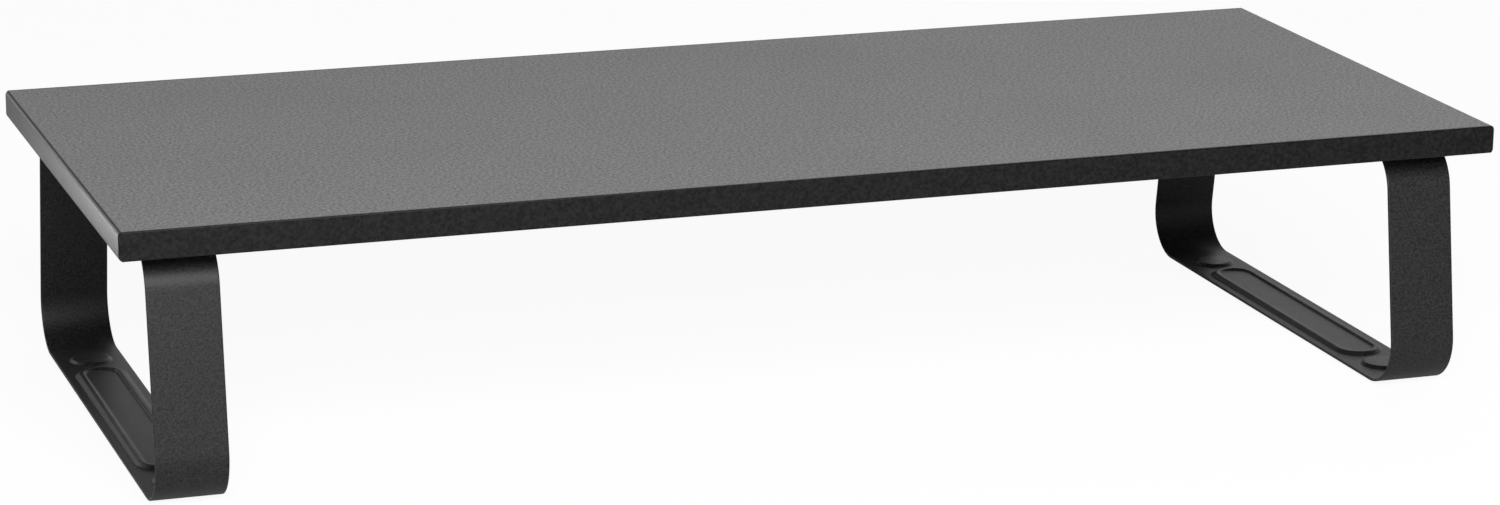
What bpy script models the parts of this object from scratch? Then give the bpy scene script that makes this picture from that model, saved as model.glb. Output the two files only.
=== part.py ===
"""A fixed-height desktop riser: a laminated board on two bent steel strap legs.

Metres, +Z up. +X runs along the board's width and -Y is the front. The origin is on the desk, under the
middle of the board, so the rubber feet stand on z = 0.
"""

from math import cos, pi, radians, sin, tan

import bmesh
import bpy
from mathutils import Vector

# Board
BOARD_WIDTH = 0.600
BOARD_DEPTH = 0.253
BOARD_THICKNESS = 0.0120
LAMINATE_THICKNESS = 0.0008
BAND_THICKNESS = 0.0012
EDGE_ROUNDING = 0.0009
OVERALL_HEIGHT = 0.1185

# Legs: one bent strap each, measured on the strap's outer face
STRAP_WIDTH = 0.0300
STRAP_THICKNESS = 0.0012
LEG_INSET = 0.0127
FOOT_CLEARANCE = 0.0010
FOOT_HALF_LENGTH = 0.1285
LEG_SETBACK = 0.0025
SPLAY = radians(8.6)
BEND_RADIUS = 0.0200
FLANGE_END = 0.0450
BEND_STEPS = 8

# Pressed shapes in the foot of each strap
BEAD_HALF_WIDTH = 0.0118
BEAD_HALF_LENGTH = 0.0755
BEAD_STEPS = 12
BEAD_OUTER_SLOPE = 0.0026
BEAD_CREST = 0.0012
BEAD_INNER_SLOPE = 0.0013
BEAD_HEIGHT = 0.0015
PANEL_HEIGHT = 0.0006
BOSS_OFFSET = 0.0885
BOSS_RADIUS = 0.0097
BOSS_SLOPE = 0.0020
BOSS_HEIGHT = 0.0013
BOSS_STEPS = 24

# Fasteners and feet
SCREW_FROM_END = (0.0100, 0.0300)
SHANK_RADIUS = 0.0019
HEAD_RADIUS = 0.0038
HEAD_HEIGHT = 0.0024
SCREW_REACH = 0.0085
SCREW_POINT = 0.0025
STRAP_HOLE_RADIUS = 0.0024
PILOT_RADIUS = 0.0022
PILOT_DEPTH = 0.0080
RUBBER_RADIUS = 0.0068
RUBBER_EDGE = 0.0006
ROUND_STEPS = 24

FIT_GAP = 0.0003
SHARP_ANGLE = radians(35)

# Places worked out from the sizes above
BOARD_BOTTOM = OVERALL_HEIGHT - BOARD_THICKNESS
INSIDE_BANDS_X = BOARD_WIDTH / 2 - BAND_THICKNESS - FIT_GAP
INSIDE_BANDS_Y = BOARD_DEPTH / 2 - BAND_THICKNESS - FIT_GAP
STRAP_TOP = BOARD_BOTTOM - FIT_GAP
STRAP_BOTTOM = FOOT_CLEARANCE
LEG_CENTRE = BOARD_WIDTH / 2 - LEG_INSET - STRAP_WIDTH / 2
TOP_HALF_LENGTH = FOOT_HALF_LENGTH - tan(SPLAY) * (STRAP_TOP - STRAP_BOTTOM)
SCREW_PLACES = [
    (side * LEG_CENTRE, LEG_SETBACK + depth * (FLANGE_END + from_end))
    for side in (-1, 1)
    for depth in (-1, 1)
    for from_end in SCREW_FROM_END
]


def clear_scene():
    for obj in list(bpy.data.objects):
        bpy.data.objects.remove(obj, do_unlink=True)


def finish_material(name, colour, roughness, metallic=0.0):
    """A Principled material with one colour and finish."""
    made = bpy.data.materials.new(name)
    made.use_nodes = True
    shader = made.node_tree.nodes["Principled BSDF"]
    shader.inputs["Base Color"].default_value = (*colour, 1.0)
    shader.inputs["Roughness"].default_value = roughness
    shader.inputs["Metallic"].default_value = metallic
    return made


def finished_mesh(name, builder, finish=None):
    """Turns a bmesh into a mesh with its faces pointing out, smooth but for its sharp edges."""
    bmesh.ops.recalc_face_normals(builder, faces=builder.faces)
    mesh = bpy.data.meshes.new(name)
    builder.to_mesh(mesh)
    builder.free()
    mesh.shade_smooth()
    mesh.set_sharp_from_angle(angle=SHARP_ANGLE)
    if finish is not None:
        mesh.materials.append(finish)
    return mesh


def add_object(name, mesh, place=(0, 0, 0)):
    made = bpy.data.objects.new(name, mesh)
    made.location = place
    bpy.context.scene.collection.objects.link(made)
    return made


def box_builder(low, high):
    """A bmesh box between two corners."""
    builder = bmesh.new()
    bmesh.ops.create_cube(builder, size=1.0)
    low, high = Vector(low), Vector(high)
    size = high - low
    bmesh.ops.scale(builder, vec=size, verts=builder.verts)
    bmesh.ops.translate(builder, vec=(low + high) / 2, verts=builder.verts)
    return builder


def cut(obj, cutter):
    modifier = obj.modifiers.new(cutter.name, "BOOLEAN")
    modifier.operation = "DIFFERENCE"
    modifier.object = cutter


def hole_cutter(name, places, radius, low, high):
    """Upright cylinders at the given places, for cutting only."""
    builder = bmesh.new()
    for x, y in places:
        made = bmesh.ops.create_cone(
            builder, cap_ends=True, segments=ROUND_STEPS,
            radius1=radius, radius2=radius, depth=high - low,
        )
        bmesh.ops.translate(builder, vec=(x, y, (low + high) / 2), verts=made["verts"])
    cutter = add_object(name, finished_mesh(name, builder))
    cutter.hide_render = True
    cutter.display_type = "WIRE"
    return cutter


# Board

def board_core(finish, pilot_cutter):
    skin = LAMINATE_THICKNESS + FIT_GAP
    builder = box_builder(
        (-INSIDE_BANDS_X, -INSIDE_BANDS_Y, BOARD_BOTTOM + skin),
        (INSIDE_BANDS_X, INSIDE_BANDS_Y, OVERALL_HEIGHT - skin),
    )
    core = add_object("board_core", finished_mesh("board_core", builder, finish))
    cut(core, pilot_cutter)


def laminate(name, low, finish):
    builder = box_builder(
        (-INSIDE_BANDS_X, -INSIDE_BANDS_Y, low),
        (INSIDE_BANDS_X, INSIDE_BANDS_Y, low + LAMINATE_THICKNESS),
    )
    return add_object(name, finished_mesh(name, builder, finish))


def round_edges(builder, edges):
    bmesh.ops.bevel(
        builder, geom=edges, offset=EDGE_ROUNDING, offset_type="OFFSET", segments=3,
        profile=0.5, affect="EDGES", clamp_overlap=True,
    )


def long_band(name, direction, finish):
    """The front or the rear edge band, which also covers the ends of the side bands."""
    outer = direction * BOARD_DEPTH / 2
    inner = outer - direction * BAND_THICKNESS
    builder = box_builder(
        (-BOARD_WIDTH / 2, min(outer, inner), BOARD_BOTTOM),
        (BOARD_WIDTH / 2, max(outer, inner), OVERALL_HEIGHT),
    )
    outer_edges = [
        edge
        for edge in builder.edges
        if all(abs(point.co.y - outer) < FIT_GAP for point in edge.verts)
    ]
    round_edges(builder, outer_edges)
    add_object(name, finished_mesh(name, builder, finish))


def side_band(name, direction, finish):
    """The left or the right edge band, between the front and the rear bands."""
    outer = direction * BOARD_WIDTH / 2
    inner = outer - direction * BAND_THICKNESS
    builder = box_builder(
        (min(outer, inner), -INSIDE_BANDS_Y, BOARD_BOTTOM),
        (max(outer, inner), INSIDE_BANDS_Y, OVERALL_HEIGHT),
    )
    outer_level_edges = [
        edge
        for edge in builder.edges
        if all(abs(point.co.x - outer) < FIT_GAP for point in edge.verts)
        and abs(edge.verts[0].co.z - edge.verts[1].co.z) < FIT_GAP
    ]
    round_edges(builder, outer_level_edges)
    add_object(name, finished_mesh(name, builder, finish))


# Legs

def bend(corner, before, after):
    """Points round a bend of the strap's outer face, at a corner between two unit directions."""
    turn = before.angle(after)
    reach = BEND_RADIUS * tan(turn / 2)
    start = corner - before * reach
    side = (after - before * before.dot(after)).normalized()
    centre = start + side * BEND_RADIUS
    steps = [turn * step / BEND_STEPS for step in range(BEND_STEPS + 1)]
    return [
        centre - side * BEND_RADIUS * cos(angle) + before * BEND_RADIUS * sin(angle)
        for angle in steps
    ]


def front_half_path():
    """The strap's outer face from the front flange's free end down to the start of the foot's flat."""
    rearward = Vector((0, 1, 0))
    down = Vector((0, -sin(SPLAY), -cos(SPLAY)))
    top_corner = Vector((0, -TOP_HALF_LENGTH, STRAP_TOP))
    foot_corner = Vector((0, -FOOT_HALF_LENGTH, STRAP_BOTTOM))
    free_end = Vector((0, -FLANGE_END, STRAP_TOP))
    return [free_end] + bend(top_corner, -rearward, down) + bend(foot_corner, down, rearward)


def sweep_strip(builder, path):
    """Quads across the strap's width along a path. It returns the two points at the path's last place."""
    half = Vector((STRAP_WIDTH / 2, 0, 0))
    rows = [(builder.verts.new(place - half), builder.verts.new(place + half)) for place in path]
    for (left, right), (next_left, next_right) in zip(rows, rows[1:]):
        builder.faces.new((left, right, next_right, next_left))
    return rows[-1]


def bead_outline(inset, height):
    """A slot shape with round ends, inset from the bead's outer edge."""
    radius = BEAD_HALF_WIDTH - inset
    straight = BEAD_HALF_LENGTH - BEAD_HALF_WIDTH
    points = []
    for end in (1, -1):
        for step in range(BEAD_STEPS + 1):
            angle = pi * step / BEAD_STEPS
            x, y = end * radius * cos(angle), end * (straight + radius * sin(angle))
            points.append(Vector((x, y, STRAP_BOTTOM + height)))
    return points


def boss_outline(centre_y, inset, height):
    radius = BOSS_RADIUS - inset
    angles = [2 * pi * step / BOSS_STEPS for step in range(BOSS_STEPS)]
    return [
        Vector((radius * cos(angle), centre_y + radius * sin(angle), STRAP_BOTTOM + height))
        for angle in angles
    ]


def closed_loop(builder, points):
    """Adds a ring of points and edges, and returns its points."""
    ring = [builder.verts.new(point) for point in points]
    for first, second in zip(ring, ring[1:] + ring[:1]):
        builder.edges.new((first, second))
    return ring


def join_rings(builder, outer, inner):
    """Quads between two rings that have the same number of points."""
    count = len(outer)
    for place in range(count):
        following = (place + 1) % count
        builder.faces.new((outer[place], outer[following], inner[following], inner[place]))


def pressed_shape(builder, outlines):
    """Joins outlines from the outside in, caps the last, and returns the first ring's edges."""
    rings = [closed_loop(builder, outline) for outline in outlines]
    for outer, inner in zip(rings, rings[1:]):
        join_rings(builder, outer, inner)
    builder.faces.new(rings[-1])
    outside = rings[0]
    return [builder.edges.get(pair) for pair in zip(outside, outside[1:] + outside[:1])]


def foot_plate(builder, front_pair, rear_pair):
    """The foot's flat, with its bead and its two bosses, between the two bends."""
    crest = BEAD_OUTER_SLOPE + BEAD_CREST
    edges = pressed_shape(builder, [
        bead_outline(0, 0),
        bead_outline(BEAD_OUTER_SLOPE, BEAD_HEIGHT),
        bead_outline(crest, BEAD_HEIGHT),
        bead_outline(crest + BEAD_INNER_SLOPE, PANEL_HEIGHT),
    ])
    for centre_y in (-BOSS_OFFSET, BOSS_OFFSET):
        edges += pressed_shape(builder, [
            boss_outline(centre_y, 0, 0),
            boss_outline(centre_y, BOSS_SLOPE, BOSS_HEIGHT),
        ])
    border = [front_pair[0], front_pair[1], rear_pair[1], rear_pair[0]]
    for first, second in zip(border, border[1:] + border[:1]):
        edge = builder.edges.get((first, second)) or builder.edges.new((first, second))
        edges.append(edge)
    bmesh.ops.triangle_fill(builder, use_beauty=True, edges=edges)


def strap_leg(name, centre_x, finish, screw_cutter):
    """One bent strap: flanges, uprights and foot as a sheet, thickened inwards from its outer face."""
    builder = bmesh.new()
    front_path = front_half_path()
    rear_path = [Vector((0, -place.y, place.z)) for place in front_path]
    front_pair = sweep_strip(builder, front_path)
    rear_pair = sweep_strip(builder, rear_path)
    foot_plate(builder, front_pair, rear_pair)
    bmesh.ops.recalc_face_normals(builder, faces=builder.faces)
    foot_face = min(builder.faces, key=lambda face: face.calc_center_median().z)
    if foot_face.normal.z > 0:
        bmesh.ops.reverse_faces(builder, faces=builder.faces)
    mesh = bpy.data.meshes.new(name)
    builder.to_mesh(mesh)
    builder.free()
    mesh.shade_smooth()
    mesh.set_sharp_from_angle(angle=SHARP_ANGLE)
    mesh.materials.append(finish)
    leg = add_object(name, mesh, (centre_x, LEG_SETBACK, 0))
    thicken = leg.modifiers.new("thickness", "SOLIDIFY")
    thicken.thickness = STRAP_THICKNESS
    thicken.offset = -1
    thicken.use_even_offset = True
    cut(leg, screw_cutter)


# Fasteners and feet

def turned_mesh(name, profile, finish):
    """A solid of revolution about Z from (radius, height) points, from its lowest cap to its top."""
    builder = bmesh.new()
    angles = [2 * pi * step / ROUND_STEPS for step in range(ROUND_STEPS)]
    rings = [
        [builder.verts.new((radius * cos(angle), radius * sin(angle), height)) for angle in angles]
        for radius, height in profile
    ]
    for lower, upper in zip(rings, rings[1:]):
        join_rings(builder, lower, upper)
    builder.faces.new(rings[0])
    builder.faces.new(rings[-1])
    return finished_mesh(name, builder, finish)


def screw_mesh(finish):
    """A pan-head wood screw, pointing up, with its origin where the head meets the strap."""
    dome = [
        (HEAD_RADIUS * cos(angle), -HEAD_HEIGHT * sin(angle))
        for angle in (radians(step) for step in (72, 48, 24, 0))
    ]
    reach = SCREW_REACH + STRAP_THICKNESS
    return turned_mesh("screw", dome + [
        (SHANK_RADIUS, 0),
        (SHANK_RADIUS, reach - SCREW_POINT),
        (SHANK_RADIUS / 5, reach),
    ], finish)


def rubber_foot_mesh(finish):
    """A rubber disc that stands on the desk and reaches up into the hollow of a boss."""
    top = STRAP_BOTTOM + BOSS_HEIGHT - FIT_GAP
    return turned_mesh("rubber_foot", [
        (RUBBER_RADIUS - RUBBER_EDGE, 0),
        (RUBBER_RADIUS, RUBBER_EDGE),
        (RUBBER_RADIUS, top),
    ], finish)


def build():
    clear_scene()
    board_black = finish_material("board_laminate", (0.035, 0.036, 0.038), 0.45)
    band_black = finish_material("board_edge", (0.020, 0.020, 0.021), 0.55)
    fibre = finish_material("board_fibre", (0.42, 0.30, 0.19), 0.90)
    powder_coat = finish_material("leg_powder_coat", (0.022, 0.022, 0.023), 0.50)
    black_steel = finish_material("screw_steel", (0.05, 0.05, 0.05), 0.40, metallic=0.9)
    rubber = finish_material("foot_rubber", (0.012, 0.012, 0.012), 0.85)

    pilot_cutter = hole_cutter(
        "pilot_cutter", SCREW_PLACES, PILOT_RADIUS,
        BOARD_BOTTOM - BOARD_THICKNESS, BOARD_BOTTOM + PILOT_DEPTH + LAMINATE_THICKNESS,
    )
    board_core(fibre, pilot_cutter)
    laminate("top_laminate", OVERALL_HEIGHT - LAMINATE_THICKNESS, board_black)
    cut(laminate("bottom_laminate", BOARD_BOTTOM, board_black), pilot_cutter)
    long_band("edge_band_front", -1, band_black)
    long_band("edge_band_rear", 1, band_black)
    side_band("edge_band_left", -1, band_black)
    side_band("edge_band_right", 1, band_black)

    screw_cutter = hole_cutter(
        "screw_cutter", SCREW_PLACES, STRAP_HOLE_RADIUS,
        STRAP_TOP - 2 * STRAP_THICKNESS, STRAP_TOP + STRAP_THICKNESS,
    )
    strap_leg("leg_left", -LEG_CENTRE, powder_coat, screw_cutter)
    strap_leg("leg_right", LEG_CENTRE, powder_coat, screw_cutter)

    screw = screw_mesh(black_steel)
    head_seat = STRAP_TOP - STRAP_THICKNESS - FIT_GAP
    for number, (x, y) in enumerate(SCREW_PLACES, start=1):
        add_object(f"screw_{number}", screw, (x, y, head_seat))

    rubber_foot = rubber_foot_mesh(rubber)
    for side_name, side in (("left", -1), ("right", 1)):
        for end_name, end in (("front", -1), ("rear", 1)):
            place = (side * LEG_CENTRE, LEG_SETBACK + end * BOSS_OFFSET, 0)
            add_object(f"rubber_foot_{end_name}_{side_name}", rubber_foot, place)


build()
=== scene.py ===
"""The looks of a desktop riser: a black laminated board on two bent steel strap legs.

Metres, +Z up, -Y is the front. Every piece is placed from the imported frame.
"""

from math import cos, hypot, pi, radians, sin, tan

import bmesh
import bpy
from mathutils import Matrix, Vector


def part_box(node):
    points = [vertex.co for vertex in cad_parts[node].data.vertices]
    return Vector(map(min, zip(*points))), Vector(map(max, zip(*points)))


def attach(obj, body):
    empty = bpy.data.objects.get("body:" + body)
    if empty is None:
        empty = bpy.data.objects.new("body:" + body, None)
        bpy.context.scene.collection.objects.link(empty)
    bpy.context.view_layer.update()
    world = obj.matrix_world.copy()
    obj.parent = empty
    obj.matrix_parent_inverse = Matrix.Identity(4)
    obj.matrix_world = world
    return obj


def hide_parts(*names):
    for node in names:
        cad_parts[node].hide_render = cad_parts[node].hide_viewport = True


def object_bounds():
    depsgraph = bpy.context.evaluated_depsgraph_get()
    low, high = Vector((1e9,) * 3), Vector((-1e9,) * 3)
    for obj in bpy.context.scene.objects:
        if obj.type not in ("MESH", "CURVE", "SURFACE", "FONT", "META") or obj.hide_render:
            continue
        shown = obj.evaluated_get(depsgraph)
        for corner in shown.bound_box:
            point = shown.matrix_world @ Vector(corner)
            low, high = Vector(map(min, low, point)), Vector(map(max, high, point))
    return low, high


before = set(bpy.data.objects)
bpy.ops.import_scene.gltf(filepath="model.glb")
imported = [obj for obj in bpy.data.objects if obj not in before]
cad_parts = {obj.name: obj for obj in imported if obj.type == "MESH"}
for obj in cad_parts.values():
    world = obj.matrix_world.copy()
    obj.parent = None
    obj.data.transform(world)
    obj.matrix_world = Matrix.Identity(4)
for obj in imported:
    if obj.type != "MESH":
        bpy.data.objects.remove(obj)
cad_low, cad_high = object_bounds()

# Where the frame says things are
BOARD_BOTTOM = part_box("bottom_laminate")[0].z
BOARD_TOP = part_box("top_laminate")[1].z
CORE_LOW, CORE_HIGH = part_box("board_core")
SCREWS = [name for name in sorted(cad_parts) if name.startswith("screw_")]
SCREW_LOW, SCREW_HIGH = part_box("screw_1")
RUBBER_FEET = [name for name in sorted(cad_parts) if name.startswith("rubber_foot_")]

# Board. Its pieces stay a touch clear of each other, and its bands a seam clear of its skins
TOUCH = 0.00002
SEAM = 0.00015
LONG_EDGE_RADIUS = 0.0005
END_EDGE_RADIUS = 0.0019
CORNER_RADIUS = 0.0012
EDGE_STEPS = 8
HOLE_RADIUS = 0.0022
STRAP_HOLE_RADIUS = 0.0024
HOLE_STEPS = 48
DRILL_PAST = 0.005
CUT_TOLERANCE = 1e-7
BOARD_SHARP_ANGLE = radians(35)

# Strap legs, as in the frame's solids
STRAP_THICKNESS = 0.0012
STRAP_RIM = 0.00035
STRAP_RIM_STEPS = 5
SPLAY = radians(8.6)
BEND_RADIUS = 0.0200
BEND_STEPS = 28
FLANGE_END = 0.0450
END_ROUNDING = 0.0003
END_STEPS = 4
STRAP_SHARP_ANGLE = radians(50)
CREST_WEAR = 0.6
LEVEL_TOLERANCE = 0.00002

# Pressed shapes in the foot of each strap
BEAD_HALF_WIDTH = 0.0118
BEAD_HALF_LENGTH = 0.0755
BEAD_OUTER_SLOPE = 0.0026
BEAD_CREST = 0.0012
BEAD_INNER_SLOPE = 0.0013
BEAD_HEIGHT = 0.0015
PANEL_HEIGHT = 0.0006
BOSS_OFFSET = 0.0885
BOSS_RADIUS = 0.0097
BOSS_SLOPE = 0.0020
BOSS_HEIGHT = 0.0013
FINE_STEP = 0.00028
MIDDLE_STEP = 3 * FINE_STEP
COARSE_STEP = 0.0060

# Screws
HEAD_RADIUS = 0.0038
HEAD_HEIGHT = 0.0024
HEAD_EDGE = 0.0004
HEAD_DOME_POWER = 2.6
HEAD_TOP_SHARE = 1 / 6
HEAD_ROWS = 14
ROUND_STEPS = 64
THREAD_RADIUS = 0.0019
THREAD_ROOT = 0.0013
THREAD_PITCH = 0.0016
THREAD_START = 0.0022
THREAD_CREST_POWER = 3
THREAD_ROWS = 160
PLAIN_SHANK_SHARE = 0.8
POINT_LENGTH = 0.0030
POINT_SHARE = 0.12
SHANK_LENGTH = SCREW_HIGH.z - SCREW_LOW.z - HEAD_HEIGHT
SCREW_SHARP_ANGLE = radians(38)

# The cross recess in each screw's head. Its mouth and floor are (reach, half width) of the arms
RECESS_DEPTH = 0.0014
RECESS_PAST_HEAD = 0.00048
RECESS_MOUTH = (0.002185, 0.000495)
RECESS_FLOOR = (0.000665, 0.000315)

# Rubber feet
FOOT_EDGE = 0.0005
FOOT_EDGE_STEPS = 8
FOOT_MIDDLE_RADIUS = 0.0012
FOOT_RIB_PLACES = (0.30, 0.62)
FOOT_RIB_WIDTH = 0.0012
FOOT_RIB_HEIGHT = 0.00025
FOOT_RIB_STEPS = 8
FOOT_SHARP_ANGLE = radians(50)

# Grey tones of each grain, darkest and lightest
# The laminate's greys are painted sheen: far paler than its black, they stand in for the glare off
# the top.
LAMINATE_TONES_WITH_PAINTED_SHEEN = (0.098, 0.382)
BACKING_TONES = (0.014, 0.034)
BAND_TONES = (0.000, 0.014)
COAT_TONES = (0.005, 0.030)

# How far in from the edge bands' faces their corners start to look rubbed, and are fully so
BAND_RUB_START = 0.0009
BAND_RUB_FULL = 0.0003

# View and studio. Each glow is its direction, how tight it is, and its strength
CAMERA_AZIMUTH = radians(19.26)
CAMERA_ELEVATION = radians(15.32)
CAMERA_ROLL = radians(0.52)
CAMERA_DISTANCE = 1.9456
CAMERA_AIM = Vector((0.0041, 0.0, 0.0528))
LENS_MM = 106.08
SENSOR_MM = 36.0
SKY_GLOWS = (
    ((0.45, 0.85, 0.25), 5, 0.80),
    ((0.90, 0.50, 0.15), 8, 0.53),
    ((0.0, -1.0, 0.08), 5, 0.46),
    ((-0.35, 0.85, 0.40), 8, 0.28),
)
# Name, place, aim, width, height, watts, and the only pieces it lights, where there are any
SOFTBOXES = (
    ("front_softbox", (-0.34, -1.69, 1.09), (0, 0, 0.1), 1.2, 0.8, 31.0, ()),
    (
        "end_softbox", (-0.62, 0.25, 0.05), (-0.3, -0.05, 0.11),
        0.25, 0.06, 1.65, ("board_band_left",),
    ),
    (
        "rim_softbox", (-0.85, 1.05, 0.24), (-0.3, 0.0, 0.115),
        0.6, 0.3, 1.6, ("board_band_left",),
    ),
    (
        "leg_softbox", (-0.72, 0.30, 0.22), (-0.28, -0.03, 0.05),
        0.5, 0.35, 1.3, ("strap_leg_left",),
    ),
)
FLOOR_HALF_WIDTH = 6.0
FLOOR_LIFT = 0.86
FLOOR_GLOW = 1.08


# Meshes

def smooth_step(value):
    """0 up to 0, 1 from 1 on, and a rounded rise in between."""
    held = min(max(value, 0.0), 1.0)
    return held * held * (3 - 2 * held)


def add_piece(name, mesh, finish, nodes, place=(0, 0, 0)):
    """A shown piece that stands for the given CAD nodes."""
    piece = bpy.data.objects.new(name, mesh)
    piece.location = place
    bpy.context.scene.collection.objects.link(piece)
    if not mesh.materials:
        mesh.materials.append(finish)
    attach(piece, "root")
    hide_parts(*nodes)


def mesh_from(builder, name):
    bmesh.ops.recalc_face_normals(builder, faces=builder.faces)
    mesh = bpy.data.meshes.new(name)
    builder.to_mesh(mesh)
    builder.free()
    return mesh


def slice_off(builder, place, outward):
    """Cuts a closed body by a plane, removes what lies outward of it and closes the cut."""
    everything = builder.verts[:] + builder.edges[:] + builder.faces[:]
    cut = bmesh.ops.bisect_plane(
        builder, geom=everything, dist=CUT_TOLERANCE,
        plane_co=place, plane_no=outward, clear_outer=True,
    )
    rim = [element for element in cut["geom_cut"] if isinstance(element, bmesh.types.BMEdge)]
    bmesh.ops.edgeloop_fill(builder, edges=rim)


def ring_faces(builder, first, second):
    """Quads between two rings that have the same number of points."""
    count = len(first)
    for place in range(count):
        following = (place + 1) % count
        builder.faces.new((first[place], first[following], second[following], second[place]))


def close_tube(builder, rings):
    """Joins each ring to the next, and closes both ends."""
    for first, second in zip(rings, rings[1:]):
        ring_faces(builder, first, second)
    builder.faces.new(rings[0])
    builder.faces.new(rings[-1])


def shaded(mesh, sharp_angle):
    """The mesh, shaded smooth except where it turns by more than an angle."""
    mesh.shade_smooth()
    mesh.set_sharp_from_angle(angle=sharp_angle)
    return mesh


def drilled(mesh, places, radius, low, high):
    """The mesh with upright round holes cut through it."""
    builder = bmesh.new()
    for x, y in places:
        made = bmesh.ops.create_cone(
            builder, cap_ends=True, segments=HOLE_STEPS,
            radius1=radius, radius2=radius, depth=high - low,
        )
        bmesh.ops.translate(builder, vec=(x, y, (low + high) / 2), verts=made["verts"])
    return cut_away(mesh, mesh_from(builder, "drill"))


def cut_away(mesh, cutter_mesh):
    """The mesh less the cutter, as a new mesh of the same name."""
    body = bpy.data.objects.new("body_being_cut", mesh)
    cutter = bpy.data.objects.new("cutter", cutter_mesh)
    for made in (body, cutter):
        bpy.context.scene.collection.objects.link(made)
    modifier = body.modifiers.new("cut", "BOOLEAN")
    modifier.operation = "DIFFERENCE"
    modifier.object = cutter
    graph = bpy.context.evaluated_depsgraph_get()
    result = bpy.data.meshes.new_from_object(body.evaluated_get(graph), depsgraph=graph)
    result.name = mesh.name
    for made in (body, cutter):
        bpy.data.objects.remove(made)
    return result


# Board

def screw_places():
    places = []
    for name in SCREWS:
        low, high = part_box(name)
        places.append(((low.x + high.x) / 2, (low.y + high.y) / 2))
    return places


def edge_inset(radius, depth):
    """How far a rounded edge sits back, at a depth from the flat face that it ends in."""
    if depth >= radius:
        return 0.0
    return radius - (radius ** 2 - (radius - depth) ** 2) ** 0.5


def board_outline(half_width, half_depth, depth):
    """Points round the board, at a depth from its top or its underside."""
    back_x = edge_inset(END_EDGE_RADIUS, depth)
    back_y = edge_inset(LONG_EDGE_RADIUS, depth)
    round_x = max(CORNER_RADIUS - back_x, 0.0)
    round_y = max(CORNER_RADIUS - back_y, 0.0)
    centre_x = half_width - back_x - round_x
    centre_y = half_depth - back_y - round_y
    outline = []
    for side_x, side_y, start in ((1, 1, 0.0), (-1, 1, pi / 2), (-1, -1, pi), (1, -1, 3 * pi / 2)):
        for step in range(EDGE_STEPS + 1):
            angle = start + pi / 2 * step / EDGE_STEPS
            x = side_x * centre_x + round_x * cos(angle)
            y = side_y * centre_y + round_y * sin(angle)
            outline.append((x, y))
    return outline


def rounded_board():
    """The whole board as one closed body, with rounded ends, corners and long edges."""
    low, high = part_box("edge_band_front")[0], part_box("edge_band_rear")[1]
    depths = sorted(
        radius * (1 - cos(pi / 2 * step / EDGE_STEPS))
        for radius in (LONG_EDGE_RADIUS, END_EDGE_RADIUS)
        for step in range(1, EDGE_STEPS + 1)
    )
    heights = [(BOARD_BOTTOM + depth, depth) for depth in [0.0] + depths]
    heights += [(BOARD_TOP - depth, depth) for depth in reversed([0.0] + depths)]
    builder = bmesh.new()
    rings = []
    for height, depth in heights:
        outline = board_outline((high.x - low.x) / 2, (high.y - low.y) / 2, depth)
        rings.append([builder.verts.new((x, y, height)) for x, y in outline])
    close_tube(builder, rings)
    bmesh.ops.recalc_face_normals(builder, faces=builder.faces)
    return builder


def board_part(name, cuts):
    """What is left of the rounded board after cuts, each an (axis, place, outward sign)."""
    builder = rounded_board()
    for axis, value, sign in cuts:
        outward = Vector((0, 0, 0))
        outward[axis] = sign
        place = Vector((0, 0, 0))
        place[axis] = value
        slice_off(builder, place, outward)
    return shaded(mesh_from(builder, name), BOARD_SHARP_ANGLE)


def skin_cuts():
    """The cuts that leave the board inside its four bands, up to a hairline seam."""
    cuts = []
    for axis, node in ((0, "edge_band_right"), (1, "edge_band_rear")):
        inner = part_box(node)[0][axis] - SEAM
        cuts += [(axis, inner, 1), (axis, -inner, -1)]
    return cuts


def band_cuts(side):
    """The cuts that leave one band. The end bands stop short of the front and rear ones."""
    axis, sign = {"front": (1, -1), "rear": (1, 1), "left": (0, -1), "right": (0, 1)}[side]
    node = "edge_band_right" if axis == 0 else "edge_band_rear"
    cuts = [(axis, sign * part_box(node)[0][axis], -sign)]
    if axis == 0:
        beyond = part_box("edge_band_rear")[0].y - SEAM
        cuts += [(1, beyond, 1), (1, -beyond, -1)]
    return cuts


def build_board(finishes):
    laminate = finishes["board_laminate"]
    band = finishes["board_edge"]
    top = board_part("top_skin", skin_cuts() + [(2, CORE_HIGH.z + TOUCH, -1)])
    add_piece("board_top_skin", top, laminate, ["top_laminate"])
    bottom = board_part("bottom_skin", skin_cuts() + [(2, CORE_LOW.z - TOUCH, 1)])
    bottom = drilled(
        bottom, screw_places(), HOLE_RADIUS, BOARD_BOTTOM - DRILL_PAST, CORE_LOW.z + DRILL_PAST
    )
    add_piece(
        "board_bottom_skin", bottom, finishes["backing"], ["bottom_laminate"]
    )
    for side in ("front", "rear", "left", "right"):
        mesh = board_part(f"band_{side}", band_cuts(side))
        add_piece(f"board_band_{side}", mesh, band, [f"edge_band_{side}"])


# Legs

def bend_stations(corner, before, after):
    """(place, inward) round a bend of the strap's outer face, where inward points into the loop."""
    turn = before.angle(after)
    inward = Vector((0, -before.z, before.y))
    start = corner - before * BEND_RADIUS * tan(turn / 2)
    centre = start + inward * BEND_RADIUS
    stations = []
    for step in range(BEND_STEPS + 1):
        angle = turn * step / BEND_STEPS
        towards = inward * cos(angle) - before * sin(angle)
        stations.append((centre - towards * BEND_RADIUS, towards))
    return stations


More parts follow.
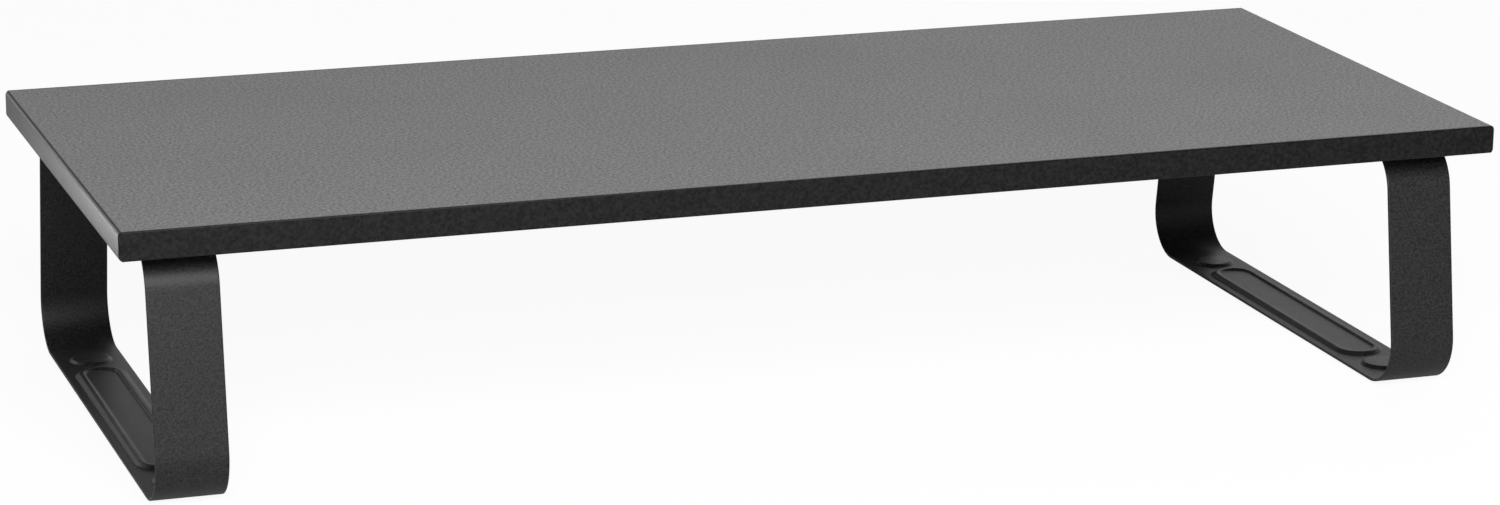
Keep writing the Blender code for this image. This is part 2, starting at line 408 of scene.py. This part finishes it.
def press_lift(x, y):
    """How far the pressed shapes raise the foot, at x across and y along from its middle."""
    straight = BEAD_HALF_LENGTH - BEAD_HALF_WIDTH
    inset = BEAD_HALF_WIDTH - hypot(x, max(abs(y) - straight, 0.0))
    past_crest = inset - BEAD_OUTER_SLOPE - BEAD_CREST
    bead = BEAD_HEIGHT * smooth_step(inset / BEAD_OUTER_SLOPE)
    bead -= (BEAD_HEIGHT - PANEL_HEIGHT) * smooth_step(past_crest / BEAD_INNER_SLOPE)
    from_boss = BOSS_RADIUS - hypot(x, abs(y) - BOSS_OFFSET)
    return bead + BOSS_HEIGHT * smooth_step(from_boss / BOSS_SLOPE)


def spread(start, end, step):
    """Even places after start, up to and including end."""
    count = max(1, round(abs(end - start) / step))
    return [start + (end - start) * place / count for place in range(1, count + 1)]


def foot_places(flat_half):
    """Places along half of the foot's flat, from its bend in, closest at the pressed shapes."""
    boss_near = BOSS_OFFSET - BOSS_RADIUS
    boss_far = BOSS_OFFSET + BOSS_RADIUS
    bead_round = BEAD_HALF_LENGTH - BEAD_HALF_WIDTH
    return (
        spread(flat_half, boss_far, COARSE_STEP)
        + spread(boss_far, boss_near, FINE_STEP)
        + spread(boss_near, BEAD_HALF_LENGTH, COARSE_STEP)
        + spread(BEAD_HALF_LENGTH, bead_round, FINE_STEP)
        + spread(bead_round, 0.0, COARSE_STEP)
    )


def flange_end_stations(top):
    """(place, inward, shrink) over the rounded free end of the front flange."""
    stations = []
    for step in range(END_STEPS + 1):
        angle = pi / 2 * step / END_STEPS
        place = Vector((0, -FLANGE_END - END_ROUNDING * (1 - cos(angle)), top))
        stations.append((place, Vector((0, 0, -1)), END_ROUNDING * (1 - sin(angle))))
    return stations


def front_stations(low, high):
    """(place, inward, shrink) from the front flange's free end to the middle of the foot."""
    down = Vector((0, -sin(SPLAY), -cos(SPLAY)))
    forward = Vector((0, -1, 0))
    rearward = Vector((0, 1, 0))
    foot_reach = BEND_RADIUS * tan(rearward.angle(down) / 2)
    half_depth = (high.y - low.y) / 2
    foot_half = half_depth - BEND_RADIUS + foot_reach
    top = BOARD_BOTTOM - TOUCH
    bottom = low.z
    top_half = foot_half - tan(SPLAY) * (top - bottom)
    stations = flange_end_stations(top)
    upper = bend_stations(Vector((0, -top_half, top)), forward, down)
    lower = bend_stations(Vector((0, -foot_half, bottom)), down, rearward)
    stations += [(place, inward, 0.0) for place, inward in upper + lower]
    flat_half = foot_half - foot_reach
    up = Vector((0, 0, 1))
    stations += [(Vector((0, -y, bottom)), up, 0.0) for y in foot_places(flat_half)]
    return stations


def mirrored(stations):
    """The rear half of the strap, from the middle of the foot to the rear flange's free end."""
    rear = []
    for place, inward, shrink in reversed(stations[:-1]):
        rear_place = Vector((0, -place.y, place.z))
        rear_inward = Vector((0, -inward.y, inward.z))
        rear.append((rear_place, rear_inward, shrink))
    return rear


def rolled_edge(half):
    """(x, depth, rim) round the strap's right edge, from its outer face to its inner one."""
    corner = half - STRAP_RIM
    lower = range(1 - STRAP_RIM_STEPS, 1)
    upper = range(STRAP_RIM_STEPS)
    edge = []
    for centre_depth, steps in ((STRAP_RIM, lower), (STRAP_THICKNESS - STRAP_RIM, upper)):
        for step in steps:
            angle = pi / 2 * step / STRAP_RIM_STEPS
            depth = centre_depth + STRAP_RIM * sin(angle)
            edge.append((corner + STRAP_RIM * cos(angle), depth, 1.0))
    return edge


def strap_section(width):
    """(x, depth, rim) round the strap's cross-section. Rim is 1 at the rounded long edges."""
    half = width / 2
    corner = half - STRAP_RIM
    beyond = BEAD_HALF_WIDTH + FINE_STEP
    within = BEAD_HALF_WIDTH - BEAD_OUTER_SLOPE - BEAD_CREST - BEAD_INNER_SLOPE
    side = (
        [0.0] + spread(0.0, within, MIDDLE_STEP) + spread(within, beyond, FINE_STEP)
        + spread(beyond, corner - 2 * STRAP_RIM, MIDDLE_STEP) + [corner]
    )
    across = [-x for x in reversed(side[1:])] + side
    outer = [(x, 0.0, 0.0) for x in across]
    inner = [(x, STRAP_THICKNESS, 0.0) for x in reversed(across)]
    right = rolled_edge(half)
    left = [(-x, STRAP_THICKNESS - depth, rim) for x, depth, rim in right]
    return outer + right + inner + left


def strap_ring(builder, wear_layer, section, middle, station):
    """The points of one cross-section, lifted where the foot is pressed. Rims and crests wear."""
    place, inward, shrink = station
    half_width = max(x for x, depth, rim in section)
    half_thickness = STRAP_THICKNESS / 2
    narrow = 1 - shrink / half_width
    thin = 1 - shrink / half_thickness
    in_foot = inward.z > 1 - LEVEL_TOLERANCE
    ring = []
    for x, depth, rim in section:
        lift = press_lift(x, place.y) if in_foot else 0.0
        from_face = half_thickness + (depth - half_thickness) * thin + lift
        across = Vector((x * narrow, 0, 0))
        point = builder.verts.new(middle + place + across + inward * from_face)
        point[wear_layer] = max(rim, CREST_WEAR * lift / BEAD_HEIGHT)
        ring.append(point)
    return ring


def strap_mesh(name, node):
    """One closed tube of quads along the strap, with its pressed shapes and rounded long edges."""
    low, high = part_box(node)
    middle = Vector(((low.x + high.x) / 2, (low.y + high.y) / 2, 0))
    front = front_stations(low, high)
    section = strap_section(high.x - low.x)
    builder = bmesh.new()
    wear_layer = builder.verts.layers.float.new("wear")
    rings = [
        strap_ring(builder, wear_layer, section, middle, station)
        for station in front + mirrored(front)
    ]
    close_tube(builder, rings)
    mesh = mesh_from(builder, name)
    own_screws = [place for place in screw_places() if low.x < place[0] < high.x]
    past = 2 * STRAP_THICKNESS
    mesh = drilled(
        mesh, own_screws, STRAP_HOLE_RADIUS, BOARD_BOTTOM - past, BOARD_BOTTOM + past
    )
    return shaded(mesh, STRAP_SHARP_ANGLE)


def build_legs(finishes):
    for side in ("left", "right"):
        node = f"leg_{side}"
        mesh = strap_mesh(f"strap_{side}", node)
        coat = finishes["leg_powder_coat"]
        add_piece(f"strap_leg_{side}", mesh, coat, [node])


# Screws and rubber feet

def round_ring(builder, height, radius_at):
    """Points round the upright axis. radius_at gives each point's distance, from its angle."""
    ring = []
    for step in range(ROUND_STEPS):
        angle = 2 * pi * step / ROUND_STEPS
        radius = radius_at(angle)
        ring.append(builder.verts.new((radius * cos(angle), radius * sin(angle), height)))
    return ring


def head_radius(height):
    """The domed head's radius, at a height from 0 at its seat to minus its full height."""
    across = -height / HEAD_HEIGHT
    dome = HEAD_RADIUS * (1 - across ** HEAD_DOME_POWER) ** 0.5
    return max(dome, HEAD_RADIUS * HEAD_TOP_SHARE)


def thread_radius(height, angle):
    """The threaded shank's radius, with a plain start under the head and a tapering point."""
    turns = height / THREAD_PITCH - angle / (2 * pi)
    flank = abs((turns % 1.0) * 2 - 1)
    taper = smooth_step((SHANK_LENGTH - height) / POINT_LENGTH)
    threaded = smooth_step((height - THREAD_START) / THREAD_PITCH)
    plain = (THREAD_RADIUS - THREAD_ROOT) * (1 - threaded) * PLAIN_SHANK_SHARE
    root = THREAD_ROOT + plain
    crest = (THREAD_RADIUS - root) * threaded * flank ** THREAD_CREST_POWER
    return (root + crest) * (POINT_SHARE + (1 - POINT_SHARE) * taper)


def screw_mesh():
    """A pan-head wood screw, point up, with a cross recess. Its origin is in the head's seat."""
    dome = [-HEAD_HEIGHT * cos(pi / 2 * row / HEAD_ROWS) for row in range(1, HEAD_ROWS)]
    head = sorted(dome + [-HEAD_EDGE, 0.0])
    shank = [SHANK_LENGTH * row / THREAD_ROWS for row in range(1, THREAD_ROWS + 1)]
    builder = bmesh.new()
    rings = [round_ring(builder, height, lambda angle: head_radius(height)) for height in head]
    rings += [
        round_ring(builder, height, lambda angle: thread_radius(height, angle)) for height in shank
    ]
    close_tube(builder, rings)
    mesh = cut_away(mesh_from(builder, "screw"), recess_cutter())
    return shaded(mesh, SCREW_SHARP_ANGLE)


def cross_ring(builder, height, reach, half_width):
    """Points at the twelve corners of a cross, in order."""
    ring = []
    for quarter in range(4):
        turn = Matrix.Rotation(pi / 2 * quarter, 3, "Z")
        for x, y in ((reach, -half_width), (reach, half_width), (half_width, half_width)):
            ring.append(builder.verts.new(turn @ Vector((x, y, height))))
    return ring


def recess_cutter():
    """A cross that narrows from outside the screw's head to the bottom of the recess."""
    builder = bmesh.new()
    mouth = cross_ring(builder, -HEAD_HEIGHT - RECESS_PAST_HEAD, *RECESS_MOUTH)
    floor = cross_ring(builder, RECESS_DEPTH - HEAD_HEIGHT, *RECESS_FLOOR)
    close_tube(builder, [mouth, floor])
    return mesh_from(builder, "recess")


def foot_profile(radius, height):
    """(radius, height) from the middle of the face that meets the desk, out and up to the top."""
    profile = [(FOOT_MIDDLE_RADIUS, FOOT_RIB_HEIGHT)]
    for rib_place in FOOT_RIB_PLACES:
        for step in range(FOOT_RIB_STEPS + 1):
            share = step / FOOT_RIB_STEPS
            lift = FOOT_RIB_HEIGHT * (1 - sin(pi * share))
            profile.append((radius * rib_place + FOOT_RIB_WIDTH * (share - 0.5), lift))
    for step in range(FOOT_EDGE_STEPS + 1):
        angle = pi / 2 * step / FOOT_EDGE_STEPS
        rim = radius - FOOT_EDGE * (1 - sin(angle))
        profile.append((rim, FOOT_EDGE * (1 - cos(angle))))
    profile.append((radius, height - FOOT_EDGE / 2))
    profile.append((radius - FOOT_EDGE / 2, height))
    return profile


def rubber_foot_mesh(height):
    """A moulded rubber disc with a rounded rim and two rings that stand out towards the desk."""
    low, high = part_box(RUBBER_FEET[0])
    builder = bmesh.new()
    rings = [
        round_ring(builder, lift, lambda angle: ring_radius)
        for ring_radius, lift in foot_profile((high.x - low.x) / 2, height)
    ]
    close_tube(builder, rings)
    return shaded(mesh_from(builder, "rubber_foot"), FOOT_SHARP_ANGLE)


def build_fasteners(finishes):
    screw = screw_mesh()
    head_seat = BOARD_BOTTOM - STRAP_THICKNESS - 2 * TOUCH
    for name, (x, y) in zip(SCREWS, screw_places()):
        add_piece(
            name.replace("screw", "leg_screw"), screw, finishes["screw_steel"],
            [name], (x, y, head_seat),
        )
    strap_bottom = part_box("leg_left")[0].z
    foot = rubber_foot_mesh(strap_bottom + BOSS_HEIGHT - TOUCH)
    for name in RUBBER_FEET:
        low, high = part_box(name)
        place = ((low.x + high.x) / 2, (low.y + high.y) / 2, low.z)
        add_piece(
            name.replace("rubber_foot", "foot_pad"), foot, finishes["foot_rubber"],
            [name], place,
        )


# Materials

class Finish:
    """One material, with short calls for the nodes that its look needs."""

    def __init__(self, name):
        self.material = bpy.data.materials.new(name)
        self.material.use_nodes = True
        self.tree = self.material.node_tree
        self.shader = self.tree.nodes["Principled BSDF"]
        self.place = self.tree.nodes.new("ShaderNodeTexCoord").outputs["Object"]

    def set(self, socket, value):
        if isinstance(value, bpy.types.NodeSocket):
            self.tree.links.new(value, socket)
        else:
            socket.default_value = value

    def noise(self, scale, detail=2.0, rough=0.5, stretch=(1, 1, 1)):
        """Soft noise about 0.5, with features of about 1 / scale metres."""
        mapping = self.tree.nodes.new("ShaderNodeMapping")
        mapping.inputs["Scale"].default_value = stretch
        self.set(mapping.inputs["Vector"], self.place)
        noise = self.tree.nodes.new("ShaderNodeTexNoise")
        self.set(noise.inputs["Vector"], mapping.outputs["Vector"])
        self.set(noise.inputs["Scale"], scale)
        self.set(noise.inputs["Detail"], detail)
        self.set(noise.inputs["Roughness"], rough)
        return noise.outputs["Fac"]

    def cells(self, scale):
        """The distance to the nearest of many scattered points, in cell sizes."""
        cells = self.tree.nodes.new("ShaderNodeTexVoronoi")
        self.set(cells.inputs["Vector"], self.place)
        self.set(cells.inputs["Scale"], scale)
        return cells.outputs["Distance"]

    def span(self, value, low, high, start=0.0, end=1.0):
        """Maps low..high to start..end, and holds it there."""
        span = self.tree.nodes.new("ShaderNodeMapRange")
        sockets = ("Value", "From Min", "From Max", "To Min", "To Max")
        for socket, given in zip(sockets, (value, low, high, start, end)):
            self.set(span.inputs[socket], given)
        return span.outputs["Result"]

    def maths(self, operation, first, second=0.0):
        maths = self.tree.nodes.new("ShaderNodeMath")
        maths.operation = operation
        self.set(maths.inputs[0], first)
        self.set(maths.inputs[1], second)
        return maths.outputs["Value"]

    def mix(self, factor, first, second):
        """A colour between two others."""
        mix = self.tree.nodes.new("ShaderNodeMix")
        mix.data_type = "RGBA"
        self.set(mix.inputs["Factor"], factor)
        for socket, colour in ((mix.inputs[6], first), (mix.inputs[7], second)):
            linked = isinstance(colour, bpy.types.NodeSocket)
            self.set(socket, colour if linked else (*colour, 1.0))
        return mix.outputs[2]

    def grain_tone(self, grain, tones):
        """The colour of a grain, from the darker of two greys to the lighter."""
        return self.mix(self.span(grain, 0.35, 0.65), grey(tones[0]), grey(tones[1]))

    def specks(self, density, sizes, clusters):
        """Scattered specks that keep to some patches. Sizes are in cells, clusters in noise."""
        speck = self.span(self.cells(density), *sizes, 1, 0)
        return self.maths("MULTIPLY", speck, self.span(self.noise(clusters[0]), *clusters[1:]))

    def attribute(self, name):
        attribute = self.tree.nodes.new("ShaderNodeAttribute")
        attribute.attribute_name = name
        return attribute.outputs["Fac"]

    def axis(self, letter):
        """How far a point is from the middle of the object along one axis, in metres."""
        split = self.tree.nodes.new("ShaderNodeSeparateXYZ")
        self.set(split.inputs["Vector"], self.place)
        return self.maths("ABSOLUTE", split.outputs[letter])

    def bump(self, height, distance, normal=None):
        bump = self.tree.nodes.new("ShaderNodeBump")
        self.set(bump.inputs["Height"], height)
        self.set(bump.inputs["Distance"], distance)
        if normal is not None:
            self.set(bump.inputs["Normal"], normal)
        return bump.outputs["Normal"]

    def finish(self, colour, roughness, normal, **others):
        self.set(self.shader.inputs["Base Color"], colour)
        self.set(self.shader.inputs["Roughness"], roughness)
        self.set(self.shader.inputs["Normal"], normal)
        for name, value in others.items():
            self.set(self.shader.inputs[name.replace("_", " ")], value)
        return self.material


def grey(level, warmth=0.0):
    """A near-neutral colour."""
    return (level * (1 + warmth), level, level * (1 - warmth))


def laminate_finish():
    """Black melamine whose charcoal grey is painted sheen, standing in for the glare off the top: a
    fine pearl grain, faint streaks along x and a cloudy sheen.
    """
    look = Finish("board_laminate_painted_sheen_look")
    grain = look.noise(760, 3.0, 0.65)
    cloud = look.noise(14, 4.0, 0.6)
    streak = look.noise(260, 3.0, 0.6, (0.04, 1, 1))
    # Painted sheen: the grain's greys, and the cloud and streak greys mixed in after them, stand in
    # for the glare off the top of a black board.
    tone = look.grain_tone(grain, LAMINATE_TONES_WITH_PAINTED_SHEEN)
    tone = look.mix(look.span(cloud, 0.3, 0.7, 0, 0.15), tone, grey(0.235))
    tone = look.mix(look.span(streak, 0.5, 0.75, 0, 0.15), tone, grey(0.33))
    dust = look.specks(160, (0.035, 0.055), (45, 0.58, 0.66))
    tone = look.mix(look.maths("MULTIPLY", dust, 0.25), tone, grey(0.42))
    roughness = look.span(cloud, 0.3, 0.7, 0.50, 0.54)
    roughness = look.maths("ADD", roughness, look.span(streak, 0.3, 0.7, -0.015, 0.015))
    normal = look.bump(look.noise(320, 3.0, 0.55), 0.00003)
    normal = look.bump(grain, 0.00002, normal)
    return look.finish(tone, roughness, normal, Specular_IOR_Level=0.85)


def backing_finish():
    """Plain matt black backing sheet under the board, with a fine paper-like grain."""
    look = Finish("board_backing_look")
    grain = look.noise(900, 3.0, 0.6)
    cloud = look.noise(18, 4.0, 0.6)
    tone = look.grain_tone(grain, BACKING_TONES)
    tone = look.mix(look.span(cloud, 0.4, 0.7, 0, 0.4), tone, grey(0.022))
    roughness = look.span(cloud, 0.3, 0.7, 0.58, 0.66)
    return look.finish(tone, roughness, look.bump(grain, 0.00003), Specular_IOR_Level=0.4)


def band_finish():
    """Matt black edge band: lengthwise drawing marks, fine orange peel and rubbed corners."""
    look = Finish("board_edge_look")
    peel = look.noise(700, 3.0, 0.6)
    drawn = look.noise(500, 2.0, 0.5, (0.03, 0.03, 1))
    end = cad_high.x
    face = -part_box("edge_band_front")[0].y
    worn_x = look.span(look.axis("X"), end - BAND_RUB_START, end - BAND_RUB_FULL)
    worn_y = look.span(look.axis("Y"), face - BAND_RUB_START, face - BAND_RUB_FULL)
    both = look.maths("MULTIPLY", worn_x, worn_y)
    rub = look.maths("MULTIPLY", both, look.span(look.noise(220, 3.0), 0.4, 0.65))
    tone = look.grain_tone(peel, BAND_TONES)
    tone = look.mix(look.maths("MULTIPLY", rub, 0.5), tone, grey(0.06))
    fleck = look.specks(210, (0.05, 0.07), (60, 0.60, 0.66))
    tone = look.mix(look.maths("MULTIPLY", fleck, 0.3), tone, grey(0.12))
    roughness = look.span(peel, 0.3, 0.7, 0.38, 0.46)
    normal = look.bump(drawn, 0.00001)
    normal = look.bump(peel, 0.00009, normal)
    return look.finish(tone, roughness, normal, Specular_IOR_Level=0.28)


def powder_coat_finish():
    """Fine-textured satin powder coat, a little paler and shinier on the rims and crests."""
    look = Finish("leg_powder_coat_look")
    texture = look.noise(1100, 3.0, 0.6)
    pits = look.cells(1500)
    worn = look.attribute("wear")
    wear = look.maths("MULTIPLY", worn, look.span(look.noise(150, 3.0), 0.35, 0.65))
    tone = look.grain_tone(texture, COAT_TONES)
    tone = look.mix(look.maths("MULTIPLY", wear, 0.3), tone, grey(0.035))
    speck = look.specks(330, (0.05, 0.08), (70, 0.60, 0.66))
    tone = look.mix(look.maths("MULTIPLY", speck, 0.3), tone, grey(0.10))
    roughness = look.span(texture, 0.3, 0.7, 0.42, 0.50)
    roughness = look.maths("SUBTRACT", roughness, look.maths("MULTIPLY", wear, 0.06))
    normal = look.bump(texture, 0.00007)
    normal = look.bump(pits, 0.000012, normal)
    return look.finish(tone, roughness, normal, Specular_IOR_Level=0.44)


def screw_finish():
    """Blackened steel with turning marks and bare, brighter high spots."""
    look = Finish("screw_steel_look")
    turned = look.noise(2600, 2.0, 0.5, (0.15, 0.15, 1))
    patch = look.noise(520, 4.0, 0.6)
    tone = look.mix(look.span(patch, 0.4, 0.7), grey(0.045), grey(0.10, 0.03))
    roughness = look.span(patch, 0.3, 0.7, 0.32, 0.48)
    normal = look.bump(turned, 0.00001)
    return look.finish(tone, roughness, normal, Metallic=0.9)


def rubber_finish():
    """Matt black rubber with a fine moulded grain and a little dust."""
    look = Finish("foot_rubber_look")
    grain = look.noise(2200, 3.0, 0.6)
    dust = look.span(look.noise(240, 4.0), 0.5, 0.75, 0, 0.5)
    tone = look.mix(dust, grey(0.010), grey(0.035, 0.02))
    roughness = look.span(grain, 0.3, 0.7, 0.72, 0.88)
    return look.finish(tone, roughness, look.bump(grain, 0.00003), Specular_IOR_Level=0.35)


def fibre_finish():
    """Pressed wood fibre: pale and dark flakes with a rough, open surface."""
    look = Finish("board_fibre_look")
    flakes = look.cells(420)
    fibre = look.noise(900, 4.0, 0.7, (1, 1, 4))
    tone = look.mix(look.span(flakes, 0.1, 0.6), (0.50, 0.37, 0.23), (0.30, 0.20, 0.11))
    tone = look.mix(look.span(fibre, 0.4, 0.7, 0, 0.6), tone, (0.20, 0.13, 0.07))
    normal = look.bump(fibre, 0.0001)
    return look.finish(tone, look.span(fibre, 0.3, 0.7, 0.82, 0.95), normal)


def floor_finish():
    """A pale painted floor, faintly cloudy. The camera sees it nearly white, with soft shadows."""
    look = Finish("floor_look")
    cloud = look.noise(2.5, 3.0)
    tone = look.mix(look.span(cloud, 0.3, 0.7), grey(0.89), grey(0.91))
    normal = look.bump(look.noise(300, 3.0), 0.00002)
    look.finish(tone, look.span(cloud, 0.3, 0.7, 0.80, 0.88), normal, Specular_IOR_Level=0.2)
    glow = look.tree.nodes.new("ShaderNodeEmission")
    look.set(glow.inputs["Strength"], FLOOR_GLOW)
    blend = look.tree.nodes.new("ShaderNodeMixShader")
    path = look.tree.nodes.new("ShaderNodeLightPath")
    look.set(blend.inputs[0], look.maths("MULTIPLY", path.outputs["Is Camera Ray"], FLOOR_LIFT))
    look.set(blend.inputs[1], look.shader.outputs["BSDF"])
    look.set(blend.inputs[2], glow.outputs["Emission"])
    look.set(look.tree.nodes["Material Output"].inputs["Surface"], blend.outputs["Shader"])
    return look.material


def make_finishes():
    return {
        "board_laminate": laminate_finish(),
        "backing": backing_finish(),
        "board_edge": band_finish(),
        "leg_powder_coat": powder_coat_finish(),
        "screw_steel": screw_finish(),
        "foot_rubber": rubber_finish(),
        "board_fibre": fibre_finish(),
    }


# Studio

def build_floor():
    """One large pale sheet under the feet."""
    half = FLOOR_HALF_WIDTH
    builder = bmesh.new()
    corners = ((-half, -half), (half, -half), (half, half), (-half, half))
    builder.faces.new([builder.verts.new((x, y, -TOUCH)) for x, y in corners])
    mesh = mesh_from(builder, "floor")
    mesh.materials.append(floor_finish())
    floor = bpy.data.objects.new("floor", mesh)
    bpy.context.scene.collection.objects.link(floor)


def light_world():
    """Soft glows from a few directions. The camera itself sees plain white."""
    world = bpy.data.worlds.new("studio")
    bpy.context.scene.world = world
    world.use_nodes = True
    tree = world.node_tree
    direction = tree.nodes.new("ShaderNodeTexCoord").outputs["Generated"]
    total = None
    for towards, tightness, strength in SKY_GLOWS:
        facing = tree.nodes.new("ShaderNodeVectorMath")
        facing.operation = "DOT_PRODUCT"
        facing.inputs[1].default_value = Vector(towards).normalized()
        tree.links.new(direction, facing.inputs[0])
        held = world_maths(tree, "MAXIMUM", facing.outputs["Value"], 0.0)
        narrowed = world_maths(tree, "POWER", held, tightness)
        glow = world_maths(tree, "MULTIPLY", narrowed, strength)
        total = glow if total is None else world_maths(tree, "ADD", total, glow)
    seen = tree.nodes.new("ShaderNodeLightPath").outputs["Is Camera Ray"]
    background = tree.nodes["Background"]
    tree.links.new(world_maths(tree, "MAXIMUM", total, seen), background.inputs["Strength"])
    background.inputs["Color"].default_value = (1, 1, 1, 1)


def world_maths(tree, operation, first, second):
    maths = tree.nodes.new("ShaderNodeMath")
    maths.operation = operation
    for socket, value in zip(maths.inputs, (first, second)):
        if isinstance(value, bpy.types.NodeSocket):
            tree.links.new(value, socket)
        else:
            socket.default_value = value
    return maths.outputs["Value"]


def add_softbox(name, place, aim, width, height, power, lit):
    """A soft rectangular lamp at place, which points to aim.

    It lights only the pieces named in lit, or everything where lit is empty.
    """
    lamp = bpy.data.lights.new(name, "AREA")
    lamp.shape = "RECTANGLE"
    lamp.size = width
    lamp.size_y = height
    lamp.energy = power
    softbox = bpy.data.objects.new(name, lamp)
    softbox.location = place
    pointing = Vector(aim) - Vector(place)
    softbox.rotation_euler = pointing.to_track_quat("-Z", "Y").to_euler()
    softbox.visible_camera = False
    bpy.context.scene.collection.objects.link(softbox)
    if lit:
        receivers = bpy.data.collections.new(f"lit_by_{name}")
        for piece in lit:
            receivers.objects.link(bpy.data.objects[piece])
        softbox.light_linking.receiver_collection = receivers


def build_camera():
    """The camera, set by its direction, distance and aim, and rolled a little."""
    level = cos(CAMERA_ELEVATION)
    forward = Vector((
        sin(CAMERA_AZIMUTH) * level, cos(CAMERA_AZIMUTH) * level, -sin(CAMERA_ELEVATION)
    ))
    right = Vector((cos(CAMERA_AZIMUTH), -sin(CAMERA_AZIMUTH), 0))
    up = right.cross(forward)
    tilted_right = right * cos(CAMERA_ROLL) + up * sin(CAMERA_ROLL)
    tilted_up = up * cos(CAMERA_ROLL) - right * sin(CAMERA_ROLL)
    lens = bpy.data.cameras.new("camera")
    lens.sensor_width = SENSOR_MM
    lens.lens = LENS_MM
    camera = bpy.data.objects.new("camera", lens)
    turned = Matrix((tilted_right, tilted_up, -forward)).transposed().to_4x4()
    turned.translation = CAMERA_AIM - forward * CAMERA_DISTANCE
    camera.matrix_world = turned
    bpy.context.scene.collection.objects.link(camera)
    bpy.context.scene.camera = camera


def build():
    finishes = make_finishes()
    build_board(finishes)
    build_legs(finishes)
    build_fasteners(finishes)
    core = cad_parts["board_core"]
    core.data.materials.clear()
    core.data.materials.append(finishes["board_fibre"])
    build_floor()
    light_world()
    for softbox in SOFTBOXES:
        add_softbox(*softbox)
    build_camera()
    bpy.context.scene.view_settings.view_transform = "Standard"


build()
